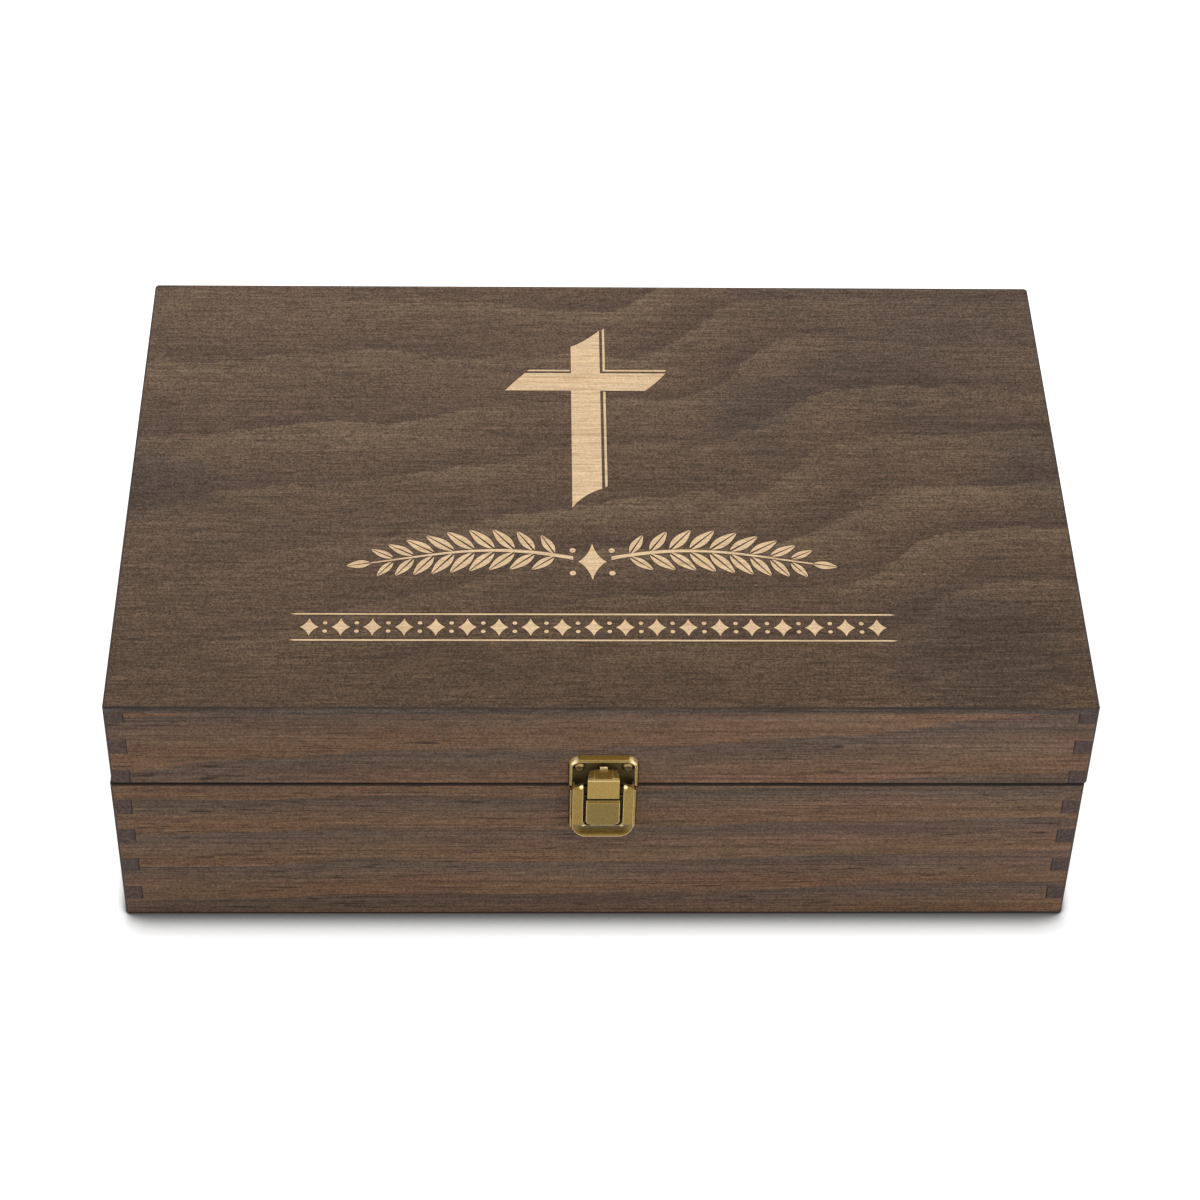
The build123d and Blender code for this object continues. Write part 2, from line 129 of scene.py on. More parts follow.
def calc(tree, operation, first, second=0.0, third=0.0):
    """One step of arithmetic."""
    inputs = {0: first, 1: second, 2: third}
    return put(tree, "Math", inputs, operation=operation).outputs[0]


def times(tree, first, *others):
    """Values multiplied together."""
    for other in others:
        first = calc(tree, "MULTIPLY", first, other)
    return first


def apart(tree, value, place):
    """How far a value lies from a place on the same axis."""
    return calc(tree, "ABSOLUTE", calc(tree, "SUBTRACT", value, place))


def split(tree, vector):
    """The three parts of a vector."""
    return put(tree, "SeparateXYZ", {0: vector}).outputs


def distance(tree, first, second):
    """The distance between two points."""
    return put(tree, "VectorMath", {0: first, 1: second}, operation="DISTANCE").outputs["Value"]


def remap(tree, value, low, high, to_low, to_high, ease="LINEAR"):
    """A value's range from low to high, moved to another range and held inside it."""
    inputs = {0: value, 1: low, 2: high, 3: to_low, 4: to_high}
    return put(tree, "MapRange", inputs, interpolation_type=ease).outputs[0]


def blend(tree, share, first, second, mode="MIX"):
    """Two colours mixed; each may be a socket or a colour."""
    inputs = {0: share}
    for slot, colour in ((6, first), (7, second)):
        is_socket = isinstance(colour, bpy.types.NodeSocket)
        inputs[slot] = colour if is_socket else (*colour, 1)
    return put(tree, "Mix", inputs, data_type="RGBA", blend_type=mode).outputs[2]


def ramp(tree, value, stops):
    """Colours or greys along a value from 0 to 1."""
    node = put(tree, "ValToRGB", {0: value})
    bar = node.color_ramp
    while len(bar.elements) < len(stops):
        bar.elements.new(0.5)
    for element, (place, colour) in zip(bar.elements, stops):
        element.position = place
        is_grey = isinstance(colour, (int, float))
        element.color = (colour, colour, colour, 1) if is_grey else (*colour, 1)
    return node.outputs[0]


def tinted(tree, tone, value, stops):
    """A tone multiplied by tints or greys along a value from 0 to 1."""
    return blend(tree, 1.0, tone, ramp(tree, value, stops), "MULTIPLY")


def darken(tree, tone, value, low, high, dark, bright):
    """A tone multiplied by greys that follow a noise."""
    return tinted(tree, tone, value, [(low, dark), (0.5, 1.0), (high, bright)])


def noise(tree, vector, scale, detail=2.0, roughness=0.5):
    """Noise of one scale, in cycles per metre."""
    inputs = {"Vector": vector, "Scale": scale, "Detail": detail, "Roughness": roughness}
    return put(tree, "TexNoise", inputs).outputs[0]


def stretched(tree, place, scales, detail=2.0, roughness=0.5):
    """Noise with its own scale along each axis, in cycles per metre."""
    return noise(tree, put(tree, "Mapping", {0: place, 3: scales}).outputs[0], 1.0, detail, roughness)


def swing(tree, value, amount, onto):
    """Adds a noise that swings about nothing, by an amount, to a value."""
    centred = calc(tree, "SUBTRACT", value, 0.5)
    return calc(tree, "MULTIPLY_ADD", centred, amount, onto)


def bumped(tree, height, strength, depth):
    """The normal of a fine relief."""
    return put(tree, "Bump", {"Strength": strength, "Distance": depth, "Height": height}).outputs[0]


def surface(tree, colour, roughness, normal, specular=0.5, metallic=0.0):
    """The shader at the end of a tree."""
    finish = put(tree, "BsdfPrincipled", {
        "Base Color": colour, "Roughness": roughness, "Normal": normal,
        "Specular IOR Level": specular, "Metallic": metallic,
    })
    put(tree, "OutputMaterial", {"Surface": finish.outputs[0]})


# Wood, with the scales of its textures in cycles per metre, along the fibres first and then across

LONG_FIBRES = (9, 1250)
SHORT_FIBRES = (110, 1500)
GRIT = 1500
FLECK_CLUSTERS = (14, 90, 90)


def fibres(tree, place, along, across, detail=3.0):
    """Fine fibres that run along X of a place."""
    return stretched(tree, place, (along, across, across), detail, 0.6)


def grained(tree, place, tone, lines, dashes, grit):
    """A tone broken up by long lines, short dashes and grit, each by its own share. Returns it with
    the fibres' height."""
    long_fibres = fibres(tree, place, *LONG_FIBRES, 1.0)
    short_fibres = fibres(tree, place, *SHORT_FIBRES, 1.0)
    grains = noise(tree, place, GRIT, 1.0)
    for value, share in ((long_fibres, lines), (short_fibres, dashes), (grains, grit)):
        tone = darken(tree, tone, value, 0.25, 0.75, 1 - share, 1 + share)
    return tone, calc(tree, "ADD", long_fibres, short_fibres)


def flecked(tree, place, tone, dark, scales, low, high):
    """Short dark pores drawn out along the grain, in loose clusters. Returns the tone with their depth."""
    fleck = remap(tree, fibres(tree, place, *scales, 1.0), low, high, 0.0, 1.0)
    cluster = stretched(tree, place, FLECK_CLUSTERS)
    fleck = times(tree, fleck, remap(tree, cluster, 0.42, 0.58, 0.10, 0.85))
    return blend(tree, fleck, tone, dark), fleck


# Pine

RING_SWAY = (6, 14, 14)
RING_WAVER = (30, 90, 90)
RING_FRAY = (30, 900)
PINE_CLOUD = (8, 40, 40)
PINE_HUE = (17, 130, 130)
PINE_SMALL_FLECKS = (90, 1100)
PINE_LARGE_FLECKS = (40, 800)
END_PORES = 900
JOINT_LINE = (0.20 * MM, 0.45 * MM)    # each dark line is full up to the first distance and ends at the next; the seam's and the foot's are painted shade
SEAM_SHADE_LINE = (0.70 * MM, 1.05 * MM)
FOOT_SHADE_LINE = (1.2 * MM, 1.8 * MM)
RIM_SHADE_LINE = (-1.1 * MM, -0.7 * MM)      # where the painted shade on the outer border of a rim begins and is full
PINE_RELIEF = 0.10 * MM


def pine_rings(tree, turned, seed, period, slope, phase):
    """Counts the growth rings up a board, which cut across it at a slope."""
    along, _, height = split(tree, turned)
    above_seam = calc(tree, "SUBTRACT", height, SEAM)
    rings = calc(tree, "MULTIPLY_ADD", above_seam, 1 / period, phase + slope * seed / period)
    rings = calc(tree, "MULTIPLY_ADD", along, -slope / period, rings)
    rings = swing(tree, stretched(tree, turned, RING_SWAY), 0.9, rings)
    rings = swing(tree, stretched(tree, turned, RING_WAVER), 0.14, rings)
    return swing(tree, fibres(tree, turned, *RING_FRAY), 0.10, rings)


def pine_face(tree, turned, rings):
    """Grey-brown bands that warm towards each ring, with dark flecks. Returns the tone, the fibres'
    height and the whole relief."""
    tone = ramp(tree, calc(tree, "FRACT", rings), [
        (0.00, PINE_WARM), (0.22, PINE_WARM), (0.52, PINE_MID), (0.88, PINE_GREY), (0.98, PINE_GREY),
        (1.00, PINE_WARM),
    ])
    cloud = stretched(tree, turned, PINE_CLOUD, 3.0, 0.6)
    tone = darken(tree, tone, cloud, 0.3, 0.7, 0.90, 1.10)
    hue = stretched(tree, turned, PINE_HUE)
    tone = tinted(tree, tone, hue, [(0.32, PINE_REDDENED), (0.68, PINE_OLIVE)])
    tone, height = grained(tree, turned, tone, 0.26, 0.24, 0.40)
    tone, small = flecked(tree, turned, tone, PINE_DARK, PINE_SMALL_FLECKS, 0.63, 0.72)
    tone, large = flecked(tree, turned, tone, PINE_DARK, PINE_LARGE_FLECKS, 0.67, 0.75)
    return tone, height, calc(tree, "SUBTRACT", calc(tree, "SUBTRACT", height, small), large)


def end_grain(tree, place, x, rightwards, finger_ends):
    """The boards' ends, full of pores, with a dark joint line where each finger stops."""
    pores = noise(tree, place, END_PORES, 3.0, 0.7)
    tone = ramp(tree, pores, [(0.38, END_GRAIN_DARK), (0.52, END_GRAIN_MID), (0.66, END_GRAIN)])
    tone = tinted(tree, tone, rightwards, [(0.0, 1.06), (1.0, 0.96)])
    for finger_end in finger_ends:
        line = remap(tree, apart(tree, x, finger_end), *JOINT_LINE, 0.7, 0.0)
        tone = blend(tree, line, tone, STAIN_AND_PAINTED_SHADE)
    return tone


def painted_seam_and_foot_shade(tree, x, y, height, level):
    """Painted shade along the seam and the foot, and on a level rim only at its outer border."""
    seam_shade = remap(tree, apart(tree, height, SEAM), *SEAM_SHADE_LINE, 0.95, 0.0)
    foot_shade = remap(tree, height, *FOOT_SHADE_LINE, 0.8, 0.0)
    past_end = calc(tree, "SUBTRACT", calc(tree, "ABSOLUTE", x), BOX_HALF)
    past_front = calc(tree, "ADD", calc(tree, "ABSOLUTE", y), FRONT_FACE)
    border_shade = remap(tree, calc(tree, "MAXIMUM", past_end, past_front), *RIM_SHADE_LINE, 0.0, 1.0)
    upright = remap(tree, level, 0.85, 0.95, 1.0, 0.0)
    return times(tree, calc(tree, "MAXIMUM", seam_shade, foot_shade), calc(tree, "MAXIMUM", upright, border_shade))


def pine(name, grain, period, slope, phase, seed, finger_ends=()):
    """Stained pine boards, with painted light that makes them a little lighter to the right. Grain is the way
    that the fibres run, X or Y.
    Period and slope are the growth rings', and the seed is how far the wood is shifted along them."""
    made, tree = shader(name)
    coordinates = put(tree, "TexCoord").outputs
    place = coordinates["Object"]
    turn = 0 if grain == "X" else pi / 2
    turned = put(tree, "Mapping", {0: place, 1: (seed, 0, 0), 2: (0, 0, turn)}).outputs[0]
    rings = pine_rings(tree, turned, seed, period, slope, phase)
    tone, fibre_height, relief = pine_face(tree, turned, rings)
    x, y, height = split(tree, place)
    rightwards = remap(tree, x, -BOX_HALF, BOX_HALF, 0.0, 1.0)
    # Painted light: the boards a little lighter to the right
    tone = tinted(tree, tone, rightwards, [(0.0, PINE_LEFT_PAINTED_SHADE), (1.0, PINE_RIGHT_PAINTED_LIGHT)])
    facing = [calc(tree, "ABSOLUTE", part) for part in split(tree, coordinates["Normal"])]
    endways = remap(tree, facing["XY".index(grain)], 0.75, 0.9, 0.0, 0.9)
    tone = blend(tree, endways, tone, end_grain(tree, place, x, rightwards, finger_ends))
    corner = remap(tree, calc(tree, "MINIMUM", facing[0], facing[1]), 0.35, 0.6, 0.0, 0.75)
    tone = blend(tree, corner, tone, STAIN_AND_PAINTED_SHADE)
    # Painted shade along the seam and the foot, and at the outer border of a rim
    tone = blend(tree, painted_seam_and_foot_shade(tree, x, y, height, facing[2]), tone, STAIN_AND_PAINTED_SHADE)
    roughness = remap(tree, fibre_height, 0.7, 1.3, 0.66, 0.54)
    surface(tree, tone, roughness, bumped(tree, relief, 0.35, PINE_RELIEF), specular=0.15)
    return made


# Veneer, with its growth contours measured from the left end and the front face

RING_PERIOD = 43 * MM
RING_PHASE = -0.35
FAN_LOW = -175 * MM        # to the left of this the contours lie level
FAN_HIGH = 7 * MM
FAN_RISE = 75 * MM         # how far the lowest contour climbs between the two
FAN_SQUEEZE = 0.375        # the share by which the contours close up
STEP_START = 99 * MM       # a second climb, slanted across the right half
STEP_END = 175 * MM
STEP_SLANT = 0.45
STEP_RISE = 34 * MM
CONTOUR_SWAY = (12, 18, 0)
CONTOUR_WAVER = (55, 80, 0)
CONTOUR_FRAY = (60, 900)
CONTOUR_PATCHES = (9, 14, 0)
PLAIN_FRONT = (FRONT_FACE + 25 * MM, FRONT_FACE + 85 * MM)    # between these the contours grow clear
VENEER_CLOUD = (11, 24, 0)
VENEER_WEAVE = (1300, 160, 0)
VENEER_COARSE = (70, 1300)
VENEER_FLECKS = (90, 1200)
PLY_PATCHES = (14, 0, 0)
VENEER_RELIEF = 0.08 * MM
POOLS = [                  # cold patches of stain: x, distance from the front face, reach, strength
    (135 * MM, 28 * MM, 62 * MM, 0.48),
    (-172 * MM, 118 * MM, 34 * MM, 0.55),
    (60 * MM, 158 * MM, 30 * MM, 0.45),
    (165 * MM, 125 * MM, 34 * MM, 0.45),
    (140 * MM, 220 * MM, 110 * MM, 0.33),
]


def contours(tree, place):
    """Counts the veneer's growth contours: level on the left, fanned, then climbing in a step."""
    x, y, _ = split(tree, place)
    depth = calc(tree, "SUBTRACT", y, FRONT_FACE)
    slanted = calc(tree, "MULTIPLY_ADD", depth, STEP_SLANT, x)
    step = remap(tree, slanted, STEP_START, STEP_END, 0.0, STEP_RISE, "SMOOTHSTEP")
    fan = remap(tree, x, FAN_LOW, FAN_HIGH, 0.0, 1.0)
    level = calc(tree, "SUBTRACT", depth, step)
    level = calc(tree, "MULTIPLY_ADD", fan, -FAN_RISE, level)
    level = calc(tree, "DIVIDE", level, calc(tree, "MULTIPLY_ADD", fan, -FAN_SQUEEZE, 1.0))
    count = calc(tree, "MULTIPLY_ADD", level, 1 / RING_PERIOD, RING_PHASE)
    count = swing(tree, stretched(tree, place, CONTOUR_SWAY), 0.80, count)
    count = swing(tree, stretched(tree, place, CONTOUR_WAVER, 3.0, 0.6), 0.30, count)
    return swing(tree, fibres(tree, place, *CONTOUR_FRAY), 0.14, count)


def cold_pools(tree, place, cloud, tone):
    """Patches where the stain is cold and dark, with ragged borders."""
    ragged = remap(tree, cloud, 0.3, 0.7, 0.6, 1.4)
    for x, depth, reach, strength in POOLS:
        away = times(tree, distance(tree, place, (x, FRONT_FACE + depth, PANEL_HEAD)), ragged)
        pool = remap(tree, away, 0.0, reach, strength, 0.0, "SMOOTHSTEP")
        tone = blend(tree, pool, tone, VENEER_COLD)
    return tone


def veneer_face(tree, place):
    """Wavy contours, each light below its edge, crossed by fine fibres that are coarser to the front, under
    painted light that darkens it towards the front and lightens it towards the back.
    Returns the tone, the fibres' height and the pores' depth."""
    _, y, _ = split(tree, place)
    bands = ramp(tree, calc(tree, "FRACT", contours(tree, place)), [
        (0.00, VENEER_DARK), (0.10, VENEER_DARK), (0.50, VENEER_MID), (0.93, VENEER_LIGHT),
        (0.985, VENEER_LIGHT), (1.00, VENEER_DARK),
    ])
    clear = remap(tree, stretched(tree, place, CONTOUR_PATCHES, 1.0), 0.35, 0.62, 0.20, 0.78)
    clear = times(tree, clear, remap(tree, y, *PLAIN_FRONT, 0.40, 1.0))
    tone = blend(tree, clear, VENEER_MID, bands)
    cloud = stretched(tree, place, VENEER_CLOUD, 3.0, 0.6)
    tone = cold_pools(tree, place, cloud, tone)
    tone, height = grained(tree, place, tone, 0.15, 0.30, 0.58)
    coarse = darken(tree, tone, fibres(tree, place, *VENEER_COARSE, 1.0), 0.3, 0.7, 0.80, 1.18)
    tone = blend(tree, remap(tree, y, FRONT_FACE, 0.0, 1.0, 0.0), tone, coarse)
    tone = darken(tree, tone, stretched(tree, place, VENEER_WEAVE, 1.0), 0.3, 0.7, 0.95, 1.05)
    tone = darken(tree, tone, cloud, 0.3, 0.7, 0.88, 1.10)
    # Painted light: darker towards the front, lighter towards the back
    painted_light_backwards = remap(tree, y, FRONT_FACE, -FRONT_FACE, 0.0, 1.0)
    tone = tinted(tree, tone, painted_light_backwards, [(0.0, VENEER_FRONT_PAINTED_SHADE), (0.35, VENEER_MIDWAY_PAINTED_SHADE), (1.0, VENEER_BACK_PAINTED_LIGHT)])
    tone, pores = flecked(tree, place, tone, VENEER_PORE, VENEER_FLECKS, 0.64, 0.76)
    return tone, height, pores


def ply_sides(tree, place, normal, face):
    """The plies on the panel's sides, below an arris that is dark in patches, and dark at both ends."""
    _, _, z = split(tree, place)
    sideways, _, up = split(tree, normal)
    level = calc(tree, "ABSOLUTE", up)
    layers = ramp(tree, remap(tree, z, PANEL_FOOT, PANEL_HEAD, 0.0, 1.0), [
        (0.0, PLY_LINE), (0.10, PLY_LINE), (0.16, PLY_EDGE), (1.0, PLY_EDGE),
    ])
    layers, _ = grained(tree, place, layers, 0.3, 0.4, 0.4)
    patchy = remap(tree, stretched(tree, place, PLY_PATCHES), 0.40, 0.62, 0.35, 0.95)
    arris = blend(tree, patchy, face, PLY_ARRIS)
    tone = blend(tree, remap(tree, level, 0.90, 0.99, 1.0, 0.0), face, arris)
    tone = blend(tree, remap(tree, level, 0.25, 0.55, 1.0, 0.0), tone, layers)
    end_arris = times(tree, calc(tree, "ABSOLUTE", sideways), level)
    return blend(tree, remap(tree, end_arris, 0.25, 0.45, 0.0, 0.85), tone, PLY_ARRIS)


def veneer(name):
    """The lid's stained panel: veneer above, and plies on its sides."""
    made, tree = shader(name)
    coordinates = put(tree, "TexCoord").outputs
    place = coordinates["Object"]
    tone, height, pores = veneer_face(tree, place)
    tone = ply_sides(tree, place, coordinates["Normal"], tone)
    roughness = remap(tree, height, 0.7, 1.3, 0.64, 0.52)
    relief = calc(tree, "SUBTRACT", height, pores)
    surface(tree, tone, roughness, bumped(tree, relief, 0.3, VENEER_RELIEF), specular=0.12)
    return made


# Engraved wood

MAPLE_LINES = (18, 420)
MAPLE_FIBRES = (60, 1500)
BURN_LINES = (40, 900)
ENGRAVED_RELIEF = 0.05 * MM


def maple(name):
    """The pale wood that the engraving shows."""
    made, tree = shader(name)
    place = put(tree, "TexCoord").outputs["Object"]
    line = fibres(tree, place, *MAPLE_LINES)
    fine = fibres(tree, place, *MAPLE_FIBRES)
    tone = ramp(tree, line, [(0.30, MAPLE_DARK), (0.47, MAPLE), (0.8, MAPLE)])
    tone = darken(tree, tone, fine, 0.3, 0.7, 0.9, 1.06)
    tone, _ = grained(tree, place, tone, 0.05, 0.14, 0.16)
    roughness = remap(tree, line, 0.3, 0.7, 0.76, 0.66)
    surface(tree, tone, roughness, bumped(tree, fine, 0.3, ENGRAVED_RELIEF), specular=0.2)
    return made


def burn(name):
    """The scorched edge round the engraving."""
    made, tree = shader(name)
    place = put(tree, "TexCoord").outputs["Object"]
    line = fibres(tree, place, *BURN_LINES)
    tone = ramp(tree, line, [(0.3, PINE_DARK), (0.7, BURN)])
    roughness = remap(tree, line, 0.3, 0.7, 0.86, 0.74)
    surface(tree, tone, roughness, bumped(tree, line, 0.3, ENGRAVED_RELIEF), specular=0.1)
    return made


# Brass

# Places on the latch. Sides are distances from its middle, and proud ones from the boards' front face.
LEVER_LOW, LEVER_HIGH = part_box("latch_lever")
LATCH_MIDDLE = (LEVER_LOW.x + LEVER_HIGH.x) / 2
LEVER_PROUD = (3.0 * MM, 3.5 * MM)
TAB_SIDES = (LATCH_MIDDLE - 5.6 * MM, LATCH_MIDDLE + 5.6 * MM)
TAB_ENDS = (LEVER_LOW.z + 6.9 * MM, SEAM - 4.3 * MM)
TAB_SOFT = 0.3 * MM
LIP_ENDS = (SEAM - 4.2 * MM, SEAM - 3.3 * MM)
LIP_SIDES = (5.4 * MM, 5.8 * MM)
LIP_SOFT = 0.1 * MM
DISH = LEVER_LOW.z + 3.5 * MM
DISH_REACH = (1.9 * MM, 3.6 * MM)
DISH_SIDES = (7.5 * MM, 10.5 * MM)
DISH_RIM = (LEVER_LOW.z + 6.0 * MM, LEVER_LOW.z + 6.5 * MM)
DISH_RIM_SIDES = (5.8 * MM, 6.4 * MM)
DISH_RIM_SOFT = 0.15 * MM
SHEET_PROUD = (0.9 * MM, 1.2 * MM)
RAISED_PROUD = (1.2 * MM, 1.5 * MM)
HOOK_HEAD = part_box("latch_hook")[1].z
HOOK_TIP = (HOOK_HEAD - 1.9 * MM, HOOK_HEAD - 1.5 * MM)
HOOK_BEND = (SEAM + 7.7 * MM, SEAM + 8.1 * MM)
HOOK_BEND_SOFT = 0.2 * MM
SCREWS_LOW, SCREWS_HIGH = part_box("catch_plate_screws")
SCREW_RADIUS = (SCREWS_HIGH.z - SCREWS_LOW.z) / 2
SCREW_SIDE = SCREWS_HIGH.x - SCREW_RADIUS - LATCH_MIDDLE
SCREW_HEIGHT = SCREWS_HIGH.z - SCREW_RADIUS
SCREW_RING = (SCREW_RADIUS + 0.5 * MM, SCREW_RADIUS + 0.9 * MM)
CATCH_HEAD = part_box("catch_plate")[1].z
PAINTED_HIGHLIGHTS = [               # painted highlight spots on the latch: distance from its middle, height, reach
    (10.9 * MM, CATCH_HEAD - 1.8 * MM, 2.0 * MM),
    (7.9 * MM, LEVER_HIGH.z - 0.5 * MM, 0.9 * MM),
    (6.9 * MM, LEVER_LOW.z + 6.0 * MM, 0.9 * MM),
]
HIGHLIGHT_CORE = 0.4        # the share of a spot's reach that is fully bright

BRASS_SPOTS = 900
BRASS_GRIT = 1400
BRASS_BRUSHED = (3000, 300, 300)
CLOSED_IN = 1.5 * MM       # how near other metal is where the brass gets patina and painted shade
BRIGHT_EDGE_RADIUS = 0.3 * MM
BRASS_RELIEF = 0.05 * MM


def inside(tree, value, low, high, soft):
    """1 between two places and 0 beyond them, over a soft border."""
    rise = remap(tree, value, low - soft, low + soft, 0.0, 1.0)
    return times(tree, rise, remap(tree, value, high - soft, high + soft, 1.0, 0.0))


def from_spot(tree, across, height, spot_across, spot_height):
    """The distance, seen from the front, from a spot that both halves of the latch have."""
    here = put(tree, "CombineXYZ", {0: across, 1: height}).outputs[0]
    return distance(tree, here, (spot_across, spot_height, 0.0))


def sideways_shade(tree, inward, up):
    """How far a face looks to the left or right, as the share of painted shade that it gets."""
    turned = calc(tree, "MAXIMUM", calc(tree, "ABSOLUTE", inward), calc(tree, "ABSOLUTE", up))
    return remap(tree, turned, 0.45, 0.75, 0.9, 0.0)


def lever_tones(tree, x, z, across, on_lever, side_shade, tone):
    """A painted dim reflection on the lever's tab, a painted dark reflection on the tab's lip and in the
    finger dish, painted shade on what faces sideways, and a painted highlight on the dish's rim."""
    tab_reflection = times(tree, inside(tree, x, *TAB_SIDES, TAB_SOFT), inside(tree, z, *TAB_ENDS, TAB_SOFT), 0.75)
    # Painted dim reflection on the tab
    tone = blend(tree, tab_reflection, tone, BRASS_DIM_PAINTED_REFLECTION)
    dish_reflection = remap(tree, apart(tree, z, DISH), *DISH_REACH, 0.9, 0.0)
    dish_reflection = times(tree, dish_reflection, remap(tree, across, *DISH_SIDES, 1.0, 0.3), on_lever)
    # Painted dark reflection in the finger dish
    tone = blend(tree, dish_reflection, tone, BRASS_DARK_PAINTED_REFLECTION)
    lip_reflection = inside(tree, z, *LIP_ENDS, LIP_SOFT)
    lip_reflection = times(tree, lip_reflection, remap(tree, across, *LIP_SIDES, 0.65, 0.0))
    # Painted dark reflection on the tab's lip
    tone = blend(tree, lip_reflection, tone, BRASS_DARK_PAINTED_REFLECTION)
    rim_highlight = inside(tree, z, *DISH_RIM, DISH_RIM_SOFT)
    rim_highlight = times(tree, rim_highlight, remap(tree, across, *DISH_RIM_SIDES, 0.6, 0.0), on_lever)
    # Painted highlight on the dish's rim
    tone = blend(tree, rim_highlight, tone, BRASS_RUBBED_AND_PAINTED_HIGHLIGHT)
    # Painted shade on what faces sideways
    return blend(tree, times(tree, side_shade, on_lever), tone, BRASS_PAINTED_SHADE)


def painted_highlight_spots(tree, across, z, proud):
    """How far the latch is brightened by painted highlights at its spots."""
    highlight = 0.0
    for side, height, reach in PAINTED_HIGHLIGHTS:
        away = from_spot(tree, across, z, side, height)
        spot = remap(tree, away, HIGHLIGHT_CORE * reach, reach, 0.9, 0.0)
        highlight = calc(tree, "MAXIMUM", highlight, spot)
    return times(tree, highlight, remap(tree, proud, *RAISED_PROUD, 0.0, 1.0))


def latch_tones(tree, place, inward, up, tone):
    """The latch's painted shades and reflections: those of its lever, and patina and painted shade on the
    sheet that lies on the wood, with more painted shade round the screws. Returns the tone, with how far each
    place has a painted highlight and how far it is dull."""
    x, y, z = split(tree, place)
    proud = calc(tree, "SUBTRACT", FRONT_FACE, y)
    across = apart(tree, x, LATCH_MIDDLE)
    on_lever = remap(tree, proud, *LEVER_PROUD, 0.0, 1.0)
    tone = lever_tones(tree, x, z, across, on_lever, sideways_shade(tree, inward, up), tone)
    on_sheet = remap(tree, proud, *SHEET_PROUD, 1.0, 0.0)
    on_sheet = times(tree, on_sheet, remap(tree, inward, -0.8, -0.95, 0.0, 1.0))
    # Patina and painted shade on the sheet
    tone = blend(tree, times(tree, on_sheet, 0.85), tone, BRASS_PATINA_AND_PAINTED_SHADE)
    from_screw = from_spot(tree, across, z, SCREW_SIDE, SCREW_HEIGHT)
    screw_ring_shade = times(tree, remap(tree, from_screw, *SCREW_RING, 0.85, 0.0), on_sheet)
    # Painted shade round the screws
    tone = blend(tree, screw_ring_shade, tone, BRASS_PAINTED_SHADE)
    return tone, painted_highlight_spots(tree, across, z, proud), on_sheet


def hook_tones(tree, place, inward, up, tone):
    """The hook has painted highlights on its tip and along its bend, and painted shade on its sides."""
    _, _, height = split(tree, place)
    tone = blend(tree, sideways_shade(tree, inward, up), tone, BRASS_PAINTED_SHADE)
    # Painted highlights on the tip and the bend
    tip = remap(tree, height, *HOOK_TIP, 0.0, 0.9)
    bend = times(tree, inside(tree, height, *HOOK_BEND, HOOK_BEND_SOFT), 0.55)
    return tone, calc(tree, "MAXIMUM", tip, bend), 0.0


def screw_tones(tree, place, inward, up, tone):
    """A screw's head has a rim with painted highlights above and below and painted shade at its sides."""
    slanted = remap(tree, calc(tree, "ABSOLUTE", inward), 0.80, 0.95, 1.0, 0.0)
    steep = remap(tree, calc(tree, "ABSOLUTE", up), 0.25, 0.55, 0.0, 1.0)
    return blend(tree, slanted, tone, blend(tree, steep, BRASS_DARK_PAINTED_REFLECTION, BRASS_PALE_AND_PAINTED_HIGHLIGHT)), 0.0, 0.3


def rubbed_and_highlit_edges(tree, sideways, up, shade, rubbing_and_highlight):
    """How far an edge is brightened, as rubbed brass and as a painted highlight: little on what faces up
    except at its ends, which get the painted highlight, and not where it is closed in."""
    soft = put(tree, "Bevel", {"Radius": BRIGHT_EDGE_RADIUS}, samples=8).outputs[0]
    plain = put(tree, "NewGeometry").outputs["Normal"]
    edge = put(tree, "VectorMath", {0: soft, 1: plain}, operation="DOT_PRODUCT").outputs["Value"]
    brightened = remap(tree, edge, 0.90, 0.985, 0.9, 0.0)
    brightened = times(tree, brightened, remap(tree, up, 0.25, 0.6, 1.0, 0.2))
    # Painted highlight on upward corners
    corner = remap(tree, times(tree, calc(tree, "ABSOLUTE", sideways), up), 0.12, 0.34, 0.0, 1.0)
    brightened = calc(tree, "MAXIMUM", brightened, corner)
    return times(tree, brightened, remap(tree, shade, 0.10, 0.30, 0.0, rubbing_and_highlight))


